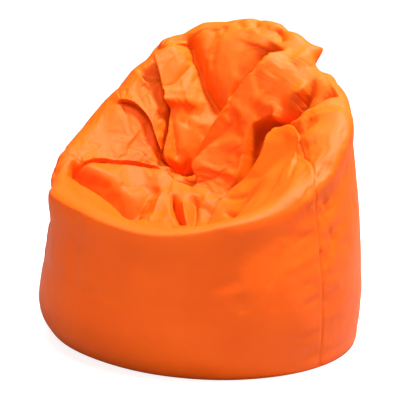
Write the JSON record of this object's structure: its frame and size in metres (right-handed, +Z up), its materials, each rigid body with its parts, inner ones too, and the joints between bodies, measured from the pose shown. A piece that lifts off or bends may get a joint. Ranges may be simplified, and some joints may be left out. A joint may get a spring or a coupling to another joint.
{
  "type": "bean bag chair",
  "caption": "Drum-shaped bean bag chair with a scooped seat and high back; zipped fabric cover over a liner bag full of beads.",
  "frame": {"origin": "centre of the flat underside, on the floor", "axes": "+Z up; the seat opens towards -Y; +X is to the right of a viewer who looks along +Y"},
  "size_m": [0.8128, 0.8161, 0.7649],
  "materials": {
    "cover_fabric": "smooth coated polyester weave with a slight sheen",
    "base_fabric": "heavier matt polyester weave",
    "liner_fabric": "thin matt non-woven",
    "closure_tape": "hook and loop pile",
    "polystyrene_beads": "expanded beads 2 to 5 mm across",
    "zip_tape": "woven herringbone tape",
    "zip_coil": "moulded nylon coil",
    "zip_metal": "nickel-plated die casting",
    "label_fabric": "blank satin ribbon"
  },
  "bodies": {
    "bag": {"cover_front_panel": "cover_fabric", "cover_right_panel": "cover_fabric", "cover_left_panel": "cover_fabric", "cover_base_panel": "base_fabric", "liner_side": "liner_fabric", "liner_base": "liner_fabric", "liner_hook_strip": "closure_tape", "liner_loop_strip": "closure_tape", "bead_fill": "polystyrene_beads", "zip_tape_left": "zip_tape", "zip_tape_right": "zip_tape", "zip_coil_left": "zip_coil", "zip_coil_right": "zip_coil", "zip_top_stop_left": "zip_metal", "zip_top_stop_right": "zip_metal", "zip_bottom_stop": "zip_metal", "care_label": "label_fabric"},
    "slider": {"zip_slider": "zip_metal"},
    "pull": {"zip_pull_tab": "zip_metal"}
  },
  "joints": [
    {"name": "zip_slide", "type": "slide", "parent": "bag", "child": "slider", "axis": [0, -0.0861, 0.9963], "range_m": [0, 0.313]},
    {"name": "pull_hinge", "type": "hinge", "parent": "slider", "child": "pull", "pos_m": [0, 0.40516, 0.18577], "axis": [1, 0, 0], "range_deg": [0, 170]}
  ]
}
